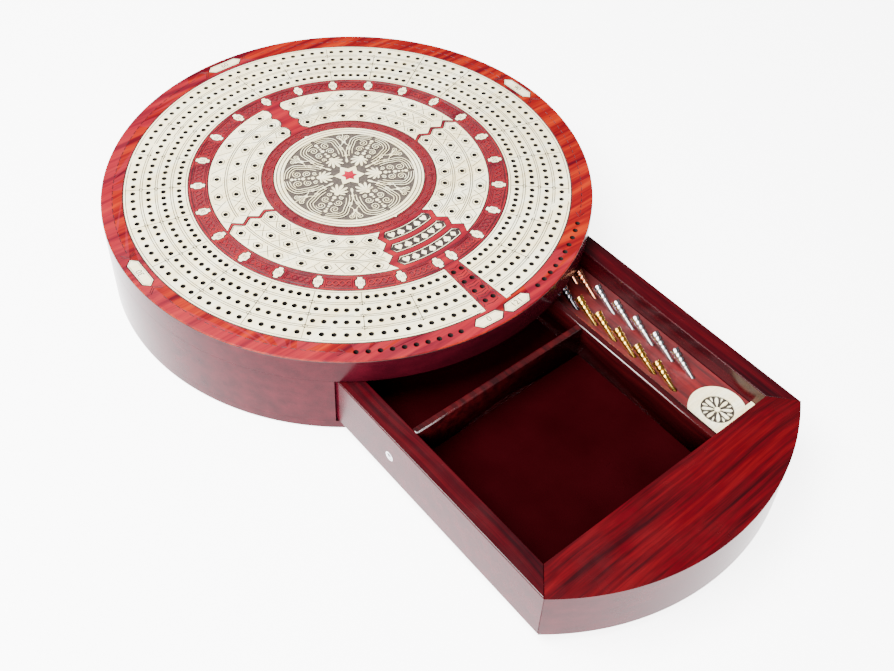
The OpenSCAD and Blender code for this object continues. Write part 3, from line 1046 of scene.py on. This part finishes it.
face_veneer = round_disc("face_veneer", BOARD_R, CORE_TOP, TOP, {TOP: 0.8})
windows = ([track_outline(), medallion_outline()] + list(fields.values()) + labels + plaques
           + corner_plaques + end_plaques)
carve(face_veneer, plate("windows", windows, CORE_TOP - 1, TOP + 1))
carve(face_veneer, drill(start_centres + rim_centres, HOLE_R, CORE_TOP - 1, TOP + 1))
print("windows cut:", len(windows))

# %% Rope panels, spirals and rim lines
def panel_outline(k, grow=0.0):
    first, last = plaque_angle(k), plaque_angle(k + 1)
    inner, outer = PLAQUE_R - 3.1 - grow, PLAQUE_R + 3.1 + grow
    margin = degrees_for(5.0 - grow, PLAQUE_R)
    return arc(outer, first + margin, last - margin) + arc(inner, last - margin, first + margin)


def rope(k, side, links=4, count=25):
    first, last = plaque_angle(k), plaque_angle(k + 1)
    margin = degrees_for(4.6, PLAQUE_R)
    return [polar(PLAQUE_R + side * 1.9 * math.sin(math.pi * links * i / (count - 1)),
                  first + margin + (last - first - 2 * margin) * i / (count - 1))
            for i in range(count)]


def spiral_ring(count=36):
    mid = (MEDALLION_R + FIELD_IN) / 2 + 0.1
    angles = [90 + 360 * (i + 0.5) / count for i in range(count)]
    yield [(turned(spiral((mid, 0), 2.3, 0.3, 200, 1.6, 20), a), False) for a in angles]
    yield [(turned(arc(4.3, -38, 38, 12), a + 180 / count, (mid - 3.5, 0)), False) for a in angles]


def rim_line():
    dashes = []
    for start, end in ((8, 80), (100, 172), (188, 231.4), (308.6, 352)):
        count = round((end - start) / 2.1)
        pitch = (end - start) / count
        dashes += [(arc(RIM_R, start + pitch * i, start + pitch * (i + 0.62)), False)
                   for i in range(count)]
    return dashes


def chevrons():
    strokes = []
    for base in (90, 178.6, 1.4):
        for side in (-1, 1):
            for reach in (14.6, 16.0):
                tip = base + side * degrees_for(reach - 0.9, RIM_R)
                wing = base + side * degrees_for(reach + 2.2, RIM_R)
                strokes.append(([polar(RIM_R + 4.1, wing), polar(RIM_R, tip),
                                 polar(RIM_R - 4.1, wing)], False))
    for side in (-1, 1):
        tip, wing = 270 + side * 37.2, 270 + side * 38.9
        strokes.append(([polar(RIM_R + 2.6, wing), polar(RIM_R, tip), polar(RIM_R - 2.6, wing)], False))
        foot, top = side * degrees_for(3.2, RIM_R), side * degrees_for(0.2, RIM_R)
        strokes.append(([polar(RIM_R + 3.8, 270 + foot), polar(RIM_R, 270 + top),
                         polar(RIM_R - 3.8, 270 + foot)], False))
    return strokes


def start_strip_lines():
    strokes = []
    half = START_ARC / 2 - 0.45
    for side in (-1, 1):
        knots = [polar(r, 270 + side * (half - (0.5 if i % 2 else 0)))
                 for i, r in enumerate(range(101, 139, 3))]
        strokes.append((flowing(knots, 4), False))
    for i, r in enumerate(range(102, 138, 2)):
        if all(abs(r - track) > 2.2 for track in TRACKS):
            strokes.append(([polar(r, 268.2), polar(r + 0.9, 270), polar(r, 271.8)], False))
    return strokes


seams = closed_lines(windows)
thin = [(arc(r, 96, 444), False) for r in (FIELD_OUT + 1.4, TRACK_IN - 1.6)]
thin += rim_line() + chevrons() + start_strip_lines()
thin += [(panel_outline(k, 0.7), True) for k in range(GROUPS)]
panels = [panel_outline(k) for k in range(GROUPS)]
strands = [[(rope(k, side), False) for k in range(GROUPS)] for side in (-1, 1)]
carve(face_veneer, plate("panels", panels, TOP - 0.45, TOP + 1))
ring_ground = [ring(MEDALLION_R + 0.9, 180), ring(FIELD_IN - 0.8, 180)]
carve(face_veneer, plate("ring_ground", ring_ground, TOP - 0.4, TOP + 1))
engrave(face_veneer, BOLD, TOP, thin)
engrave(face_veneer, SEAM, TOP, seams)
face_veneer = standing_lines(face_veneer, 0.42, 0.45, TOP, *strands)
face_veneer = standing_lines(face_veneer, 0.4, 0.4, TOP, *spiral_ring())


def veneer_choice(centre, normal):
    r = math.hypot(centre.x, centre.y)
    if r > BOARD_R - 1.2 and centre.z < TOP - 0.9:
        return "edge"
    if abs(normal.z) < 0.3:
        return "wall"
    if centre.z > TOP - 0.05 or r > BOARD_R - 1.2:
        return "wood" if r > TRACK_OUT - 1 else "ring"
    return "ground" if normal.z > 0.99 else "groove"


set_finishes(face_veneer, {"wood": bloodwood, "ring": ring_bloodwood, "groove": burnt_bloodwood,
                           "ground": shaded_bloodwood, "wall": burnt_edge, "edge": wall_wood},
             veneer_choice)
smooth(face_veneer, CRISP)
place_piece(face_veneer, "bloodwood_face", "board")

# %% [markdown]
# ## The body
# The body is turned from three layers: a base, two walls that leave the drawer's channel open, and a top
# board bored for the pegs. Outside, the layers are lacquered as one, so only a hairline shows between
# them. The base has an eased foot.

# %% Base, walls and top board
def lacquered(piece, node):
    def choose(centre, normal):
        if math.hypot(centre.x, centre.y) > BOARD_R - 1.3:
            return "lacquer"
        return "bore" if abs(normal.z) < 0.3 and centre.z > CORE_TOP - HOLE_DEPTH else "bare"
    set_finishes(piece, {"bare": core_wood, "lacquer": wall_wood, "bore": hole_wall}, choose)
    smooth(piece, CRISP)
    return place_piece(piece, node, "board")


base_disc = round_disc("base_disc", BOARD_R, 0, BASE_TOP, {0: 0.9, BASE_TOP: 0.12})
lacquered(base_disc, "base_board")
top_disc = round_disc("top_disc", BOARD_R, CEILING, CORE_TOP, {CEILING: 0.12, CORE_TOP: 0.12})
carve(top_disc, drill(every_centre, HOLE_R, TOP - HOLE_DEPTH, CORE_TOP + 1))
lacquered(top_disc, "top_board")
CHANNEL_HALF = box_mm("side_block_right")[0].x
for side, node in ((1, "side_block_right"), (-1, "side_block_left")):
    reach = math.degrees(math.acos(CHANNEL_HALF / BOARD_R))
    outline = [(side * x, y) for x, y in arc(BOARD_R, -reach, reach, 1.0)]
    wall = plate("channel_wall_" + node.split("_")[-1], [outline], BASE_TOP, CEILING)
    pocket_low, pocket_high = box_mm("strike_plates")
    y, z0, z1 = pocket_high.y, pocket_low.z, pocket_high.z
    pocket = [(side * (CHANNEL_HALF - 1), -y), (side * (CHANNEL_HALF + 0.8), -y),
              (side * (CHANNEL_HALF + 0.8), y), (side * (CHANNEL_HALF - 1), y)]
    carve(wall, plate("pocket", [pocket], z0, z1))
    apply_modifier(wall, "BEVEL", width=0.12 * MM, segments=2, limit_method="ANGLE",
                   angle_limit=math.radians(60))
    lacquered(wall, node)

# %% [markdown]
# ## The drawer
# The drawer is a mitred box with bowed ends that carry on the board's curve. Each wall is one plate with
# eased edges, and the small bevel on both sides of a mitre shows as a fine joint line. Its wood is a
# bright red under deep lacquer, with dark streaks along each wall.

# %% Drawer sizes and woods
HALF_W = box_mm("drawer_side_right")[1].x
INNER_HALF = box_mm("drawer_floor")[1].x
DRAWER_LOW, DRAWER_TOP = box_mm("drawer_front")[0].z, box_mm("drawer_front")[1].z
PULL = -(box_mm("drawer_front")[0].y + BOARD_R)
HALF_L = box_mm("drawer_floor")[1].y + PULL
SHOULDER = math.sqrt(BOARD_R ** 2 - HALF_W ** 2)
drawer_red = timber("drawer_red", (36, 1, 5), (70, 2, 8), (90, 5, 11), streaks=260.0,
                    contrast=0.17, rough=(0.2, 0.3), ior=1.4)
drawer_red_side = timber("drawer_red_side", (30, 2, 6), (50, 2, 8), (64, 4, 10), along="Y",
                         streaks=260.0, contrast=0.17, rough=(0.2, 0.3), ior=1.4)
divider_wood = timber("divider_wood", (26, 3, 5), (46, 5, 8), (62, 8, 11), along="Y",
                      rough=(0.14, 0.22), coat=0.6)
print("drawer pulled out by", round(PULL, 1), "mm")


# %% Drawer walls
def block(name, low, high, ease, top_only=False):
    middle = [(a + b) / 2 * MM for a, b in zip(low, high)]
    size = [(b - a) * MM for a, b in zip(low, high)]
    bpy.ops.mesh.primitive_cube_add(size=1, location=middle)
    bpy.context.object.scale = size
    piece = settle(bpy.context.object, name)
    marks = piece.data.attributes.new("bevel_weight_edge", "FLOAT", "EDGE")
    for edge in piece.data.edges:
        heights = [piece.data.vertices[v].co.z / MM for v in edge.vertices]
        if not top_only or min(heights) > high[2] - 0.01:
            marks.data[edge.index].value = 1
    return apply_modifier(piece, "BEVEL", width=ease * MM, segments=3, limit_method="WEIGHT")


def in_drawer(points):
    return [(x, y - PULL) for x, y in points]


def drawer_piece(piece, node, finishes, choose):
    set_finishes(piece, finishes, choose)
    smooth(piece, CRISP)
    return place_piece(piece, node, "drawer")


def eased(piece, width=0.6):
    return apply_modifier(piece, "BEVEL", width=width * MM, segments=3, limit_method="ANGLE",
                          angle_limit=math.radians(25))


def outside(centre, normal):
    shifted = centre.y + PULL
    round_end = math.hypot(centre.x, shifted) > BOARD_R - 1 and abs(normal.z) < 0.6
    flank = abs(centre.x) > HALF_W - 0.5 and abs(normal.z) < 0.6
    return "lacquer" if round_end or flank else "wood"


corner = math.degrees(math.acos(HALF_W / BOARD_R))
front_outline = ([(INNER_HALF, -HALF_L)] + arc(BOARD_R, -corner, corner - 180, 1.0)
                 + [(-INNER_HALF, -HALF_L)])
for name, node, outline in (("bowed_front", "drawer_front", front_outline),
                            ("bowed_rear", "drawer_rear", flipped(front_outline))):
    wall = eased(plate(name, [in_drawer(outline)], DRAWER_LOW, DRAWER_TOP))
    drawer_piece(wall, node, {"wood": drawer_red, "lacquer": wall_wood}, outside)
catch_low, catch_high = box_mm("catch_barrels")
catch_z = (catch_low.z + catch_high.z) / 2
for side, word in ((1, "right"), (-1, "left")):
    outline = [(side * INNER_HALF, -HALF_L), (side * HALF_W, -SHOULDER),
               (side * HALF_W, SHOULDER), (side * INNER_HALF, HALF_L)]
    wall = eased(plate("drawer_wall_" + word, [in_drawer(outline)], DRAWER_LOW, DRAWER_TOP))
    bpy.ops.mesh.primitive_cylinder_add(vertices=40, radius=3.0 * MM, depth=20 * MM,
                                        location=(side * (HALF_W + 1) * MM, -PULL * MM, catch_z * MM),
                                        rotation=(0, math.pi / 2, 0))
    carve(wall, settle(bpy.context.object, "catch_bit"))
    drawer_piece(wall, "drawer_side_" + word, {"wood": drawer_red_side, "lacquer": wall_wood}, outside)

# %% Dividers
for name, node in (("cross_rail", "cross_divider"), ("long_rail", "long_divider")):
    low, high = box_mm(node)
    rail = block(name, low, high, 1.0, top_only=True)
    drawer_piece(rail, node, {"wood": divider_wood}, lambda centre, normal: "wood")

# %% [markdown]
# ## Velvet
# The card wells are lined with dark red velvet on card. The pad's top is very slightly uneven, and the
# pile catches light at a low angle, which is what the sheen does, while brushed patches are a noise.

# %% Velvet linings
def velvet_material():
    material, tree, shader, place = new_material("velvet")
    brushed = add_node(tree, "TexNoise", {"Vector": place, "Scale": 28.0, "Detail": 3.0})
    pile = add_node(tree, "TexNoise", {"Vector": place, "Scale": 2600.0, "Detail": 1.0})
    colour = ramp(tree, brushed.outputs["Fac"], (0.3, paint(22, 1, 2)), (0.75, paint(30, 2, 4)))
    tree.links.new(colour, shader.inputs["Base Color"])
    rough_from(tree, shader, place, 0.85, 1.0)
    nap = add_node(tree, "Bump", {"Height": pile.outputs["Fac"], "Strength": 0.6, "Distance": 0.0001})
    tree.links.new(nap.outputs["Normal"], shader.inputs["Normal"])
    shader.inputs["Sheen Weight"].default_value = 0.02
    shader.inputs["Sheen Tint"].default_value = paint(170, 40, 50)
    shader.inputs["Specular IOR Level"].default_value = 0.0
    return material


velvet = velvet_material()
swell = bpy.data.textures.new("swell", "CLOUDS")
swell.noise_scale = 0.03
for name, node in (("front_pad", "front_well_lining"), ("rear_pad", "rear_well_lining")):
    low, high = box_mm(node)
    pad = block(name, low, high, 0.5, top_only=True)
    pick(pad)
    bpy.ops.object.mode_set(mode="EDIT")
    bpy.ops.mesh.select_all(action="SELECT")
    bpy.ops.mesh.subdivide(number_cuts=24)
    bpy.ops.object.mode_set(mode="OBJECT")
    crown = pad.vertex_groups.new(name="crown")
    crown.add([v.index for v in pad.data.vertices if v.co.z > (high.z - 0.1) * MM], 1.0, "REPLACE")
    apply_modifier(pad, "DISPLACE", texture=swell, strength=0.5 * MM, mid_level=1.0, direction="Z",
                   vertex_group="crown")
    pad.vertex_groups.clear()
    drawer_piece(pad, node, {"pile": velvet}, lambda centre, normal: "pile")

# %% [markdown]
# ## The peg rack
# A block on the right of the drawer holds twenty pegs in two rows. Its holes lean back, so that the pegs
# lie low enough to pass under the board. One leaning bit is copied down both rows.

# %% Peg rack
rack_low, rack_high = box_mm("peg_rack")
RACK_TOP = rack_high.z
LEAN = 32.0
RACK_ROWS = (56.3, 71.4)
RACK_FIRST, RACK_PITCH = -63.6, 15.6
rack_holes = [[(x, RACK_FIRST + RACK_PITCH * i - PULL) for i in range(10)] for x in RACK_ROWS]


def leaning_bit(x, y, name):
    reach = Vector((0, math.cos(math.radians(LEAN)), math.sin(math.radians(LEAN))))
    middle = Vector((x, y, RACK_TOP)) - reach * 2.5
    bpy.ops.mesh.primitive_cylinder_add(vertices=24, radius=1.75 * MM, depth=13 * MM,
                                        location=middle * MM,
                                        rotation=(math.radians(LEAN - 90), 0, 0))
    return settle(bpy.context.object, name)


rack = block("rack_block", rack_low, rack_high, 0.4, top_only=True)
bits = [leaning_bit(x, y, "bit") for row in rack_holes for x, y in row]
carve(rack, join(bits, "bits"))


def rack_choice(centre, normal):
    between_sides = rack_low.x + 1 < centre.x < rack_high.x - 1 and abs(normal.x) < 0.98
    inside = centre.z < RACK_TOP - 0.5 and between_sides and abs(centre.y + PULL) < 90
    return "bore" if inside and normal.z > -0.9 else "wood"


rack_red = timber("rack_red", (44, 3, 6), (84, 4, 9), (108, 8, 12), along="Y", streaks=260.0,
                  rough=(0.45, 0.6))
drawer_piece(rack, "peg_rack", {"wood": rack_red, "bore": hole_wall}, rack_choice)

# %% [markdown]
# ## The rosette plate
# A small arched maple plate lies in front of the pegs. It carries a plain eight-petal rosette in a sunk
# round, two ring lines with dots between them, and a row of small waves on its foot.

# %% Rosette plate
plate_low, plate_high = box_mm("rosette_plate")
PLATE_X = (plate_low.x + plate_high.x) / 2
HEAD_R, FOOT = 16.2, 6.7
head_y = plate_high.y - HEAD_R
foot_y = plate_low.y
foot_top = foot_y + FOOT - 0.1
spread = math.degrees(math.asin((head_y - foot_top) / HEAD_R))


def about_head(points):
    return [(PLATE_X + x, head_y + y) for x, y in points]


plate_half = (plate_high.x - plate_low.x) / 2
arch = ([(PLATE_X - plate_half, foot_top), (PLATE_X - plate_half, foot_y),
         (PLATE_X + plate_half, foot_y), (PLATE_X + plate_half, foot_top)]
        + about_head(arc(HEAD_R, -spread, 180 + spread, 3)))
rosette = plate("rosette_arch", [arch], plate_low.z, plate_high.z)
eased(rosette, 0.25)
carve(rosette, plate("round_ground", [about_head(ring(9.4, 60))], plate_high.z - 0.7, plate_high.z + 1))
engrave(rosette, 0.16, plate_high.z,
        [(about_head(ring(r, 72)), True) for r in (14.9, 10.6)],
        [(about_head(turned(ring(0.35, 8), a, (12.7, 0))), True) for a in range(-20, 201, 11)],
        [([(PLATE_X - plate_half + 1.5, foot_y + h), (PLATE_X + plate_half - 1.5, foot_y + h)], False)
         for h in (1.2, 5.2)],
        [(flowing([(PLATE_X - plate_half + 2.5 + 1.6 * i, foot_y + (2.4 if i % 2 else 4.0))
                   for i in range(22)], 4), False)])
petals = [plate("petal", [about_head(turned(drop((1.8, 0), 6.6, 2.6, 0), 45 * k)) for k in range(8)],
                plate_high.z - 0.8, plate_high.z - 0.05)]
petals.append(plate("heart", [about_head(ring(1.6, 20))], plate_high.z - 0.8, plate_high.z - 0.02))
petals.append(plate("leaves", [about_head(turned(drop((5.6, 0), 3.0, 1.2, 0), 45 * k + 22.5))
                               for k in range(8)], plate_high.z - 0.8, plate_high.z - 0.1))
rosette = join([rosette] + petals, "rosette_arch")
set_finishes(rosette, {"wood": maple, "groove": burnt_maple, "ground": burnt_maple, "wall": maple},
             inlay_finish(plate_high.z, 0.3))
smooth(rosette)
place_piece(rosette, "rosette_plate", "drawer")

# %% [markdown]
# ## The pegs
# A peg is turned from rod: a tapered point, a collar, four beads that grow towards the head, and a flat
# cap. Half of its outline is drawn once and spun round, and every peg is a copy in its own metal.

# %% One turned peg
def bead(z0, z1, radius, neck, count=7):
    steps = [math.pi * (i + 0.5) / count for i in range(count)]
    return [(neck + (radius - neck) * math.sin(t) ** 0.8, z0 + (z1 - z0) * (1 - math.cos(t)) / 2)
            for t in steps]


def turned_peg():
    z = [5.6 + 2.975 * i for i in range(5)]
    outline = [(0, -8.5), (0.75, -8.5), (1.0, -8.2), (1.1, -7.8), (1.46, 4.5), (1.9, 4.62), (2.0, 4.75),
               (2.0, 5.3), (1.9, 5.45)]
    outline += (bead(z[0], z[1], 1.98, 1.3) + bead(z[1], z[2], 2.28, 1.45) + bead(z[2], z[3], 2.53, 1.6)
                + bead(z[3], z[4] - 0.9, 2.68, 1.8))
    outline += [(2.62, 16.6), (2.78, 16.75), (2.8, 17.2), (2.68, 17.4), (2.3, 17.5), (0, 17.5)]
    mesh = bpy.data.meshes.new("peg")
    mesh.from_pydata([(x * MM, 0, z * MM) for x, z in outline],
                     [(i, i + 1) for i in range(len(outline) - 1)], [])
    peg = bpy.data.objects.new("peg", mesh)
    bpy.context.scene.collection.objects.link(peg)
    pick(peg)
    bpy.ops.object.mode_set(mode="EDIT")
    bpy.ops.mesh.select_all(action="SELECT")
    bpy.ops.mesh.spin(steps=28, angle=2 * math.pi, center=(0, 0, 0), axis=(0, 0, 1))
    bpy.ops.object.mode_set(mode="OBJECT")
    return smooth(weld(peg), 40)


def metal(name, dull, bright, low=0.12, high=0.24):
    material, tree, shader, place = new_material(name)
    turning = add_node(tree, "TexNoise", {"Vector": place, "Scale": 420.0, "Detail": 2.0})
    colour = ramp(tree, turning.outputs["Fac"], (0.35, paint(*dull)), (0.65, paint(*bright)))
    tree.links.new(colour, shader.inputs["Base Color"])
    rough_from(tree, shader, place, low, high)
    shader.inputs["Metallic"].default_value = 1.0
    return material


peg_metals = {"gold": metal("gold_plate", (226, 178, 74), (250, 212, 120)),
              "dark": metal("dark_plate", (120, 120, 128), (160, 160, 168)),
              "silver": metal("silver_plate", (214, 214, 220), (242, 242, 246)),
              "copper": metal("copper_plate", (214, 140, 104), (240, 176, 140))}
master = turned_peg()
for row, (front, back) in enumerate((("gold", "dark"), ("silver", "copper"))):
    for i, (x, y) in enumerate(rack_holes[row]):
        colour, number = (front, i + 1) if i < 5 else (back, i - 4)
        peg = master.copy()
        peg.data = master.data.copy()
        bpy.context.scene.collection.objects.link(peg)
        peg.matrix_world = (Matrix.Translation(Vector((x, y, RACK_TOP)) * MM)
                            @ Matrix.Rotation(math.radians(LEAN - 90), 4, "X"))
        settle(peg, "turned_" + colour + "_" + str(number))
        set_finishes(peg, {"metal": peg_metals[colour]}, lambda centre, normal: "metal")
        node = "peg_" + colour + "_" + str(number)
        place_piece(peg, node, node)
discard(master)

# %% [markdown]
# ## Parts that stay as designed
# The drawer's floor, the ball catches and the strike plates have their true shape already, so they keep
# their meshes and get a finish: bare core wood, bright steel and brass.

# %% Finishes for the catches and the floor
steel = metal("steel", (170, 170, 176), (214, 214, 220), 0.18, 0.32)
brass = metal("brass", (176, 138, 62), (206, 168, 88), 0.22, 0.36)
for node, finish in (("drawer_floor", core_wood), ("strike_plates", brass), ("catch_barrels", steel),
                     ("catch_spring_left", steel), ("catch_spring_right", steel),
                     ("catch_ball_left", steel), ("catch_ball_right", steel)):
    nodes[node].data.materials.clear()
    nodes[node].data.materials.append(finish)
    print(node, "finished in", finish.name)

# %% [markdown]
# ## Floor and light
# The board stands on a white sweep. The floor glows, so that it stays white and the lacquered sides
# mirror it as a pale grey. Two large soft lights light the playing face and give the metal highlights.

# %% Floor
def add_floor():
    bpy.ops.mesh.primitive_plane_add(size=12, location=(0, 0, -0.0005))
    floor = settle(bpy.context.object, "floor")
    material, _, shader, _ = new_material("floor_white")
    shader.inputs["Base Color"].default_value = (0.85, 0.85, 0.85, 1)
    shader.inputs["Emission Color"].default_value = (1, 1, 1, 1)
    shader.inputs["Specular IOR Level"].default_value = 0.0
    shader.inputs["Roughness"].default_value = 1.0
    shader.inputs["Emission Strength"].default_value = 5.5
    floor.data.materials.append(material)
    return floor


def add_light(name, place, aim, size, power):
    data = bpy.data.lights.new(name, "AREA")
    data.shape = "RECTANGLE"
    data.size, data.size_y = size
    data.energy = power
    light = bpy.data.objects.new(name, data)
    light.location = place
    light.rotation_euler = (Vector(aim) - Vector(place)).to_track_quat("-Z", "Y").to_euler()
    bpy.context.scene.collection.objects.link(light)
    return light


def add_world():
    world = bpy.data.worlds.new("studio")
    world.use_nodes = True
    bpy.context.scene.world = world
    tree = world.node_tree
    sight = add_node(tree, "LightPath").outputs["Is Camera Ray"]
    glow = add_node(tree, "Mix", {"Factor": sight}, data_type="RGBA")
    glow.inputs["A"].default_value = (0.14, 0.14, 0.14, 1)
    glow.inputs["B"].default_value = (5, 5, 5, 1)
    tree.links.new(glow.outputs["Result"], tree.nodes["Background"].inputs["Color"])


floor = add_floor()
add_world()
add_light("overhead", (-0.55, 0.1, 1.2), (0, -0.05, 0), (0.9, 0.9), 90)
add_light("window", (-1.2, -0.9, 0.9), (0, -0.1, 0.03), (0.9, 0.9), 36)
print("floor and lights ready")
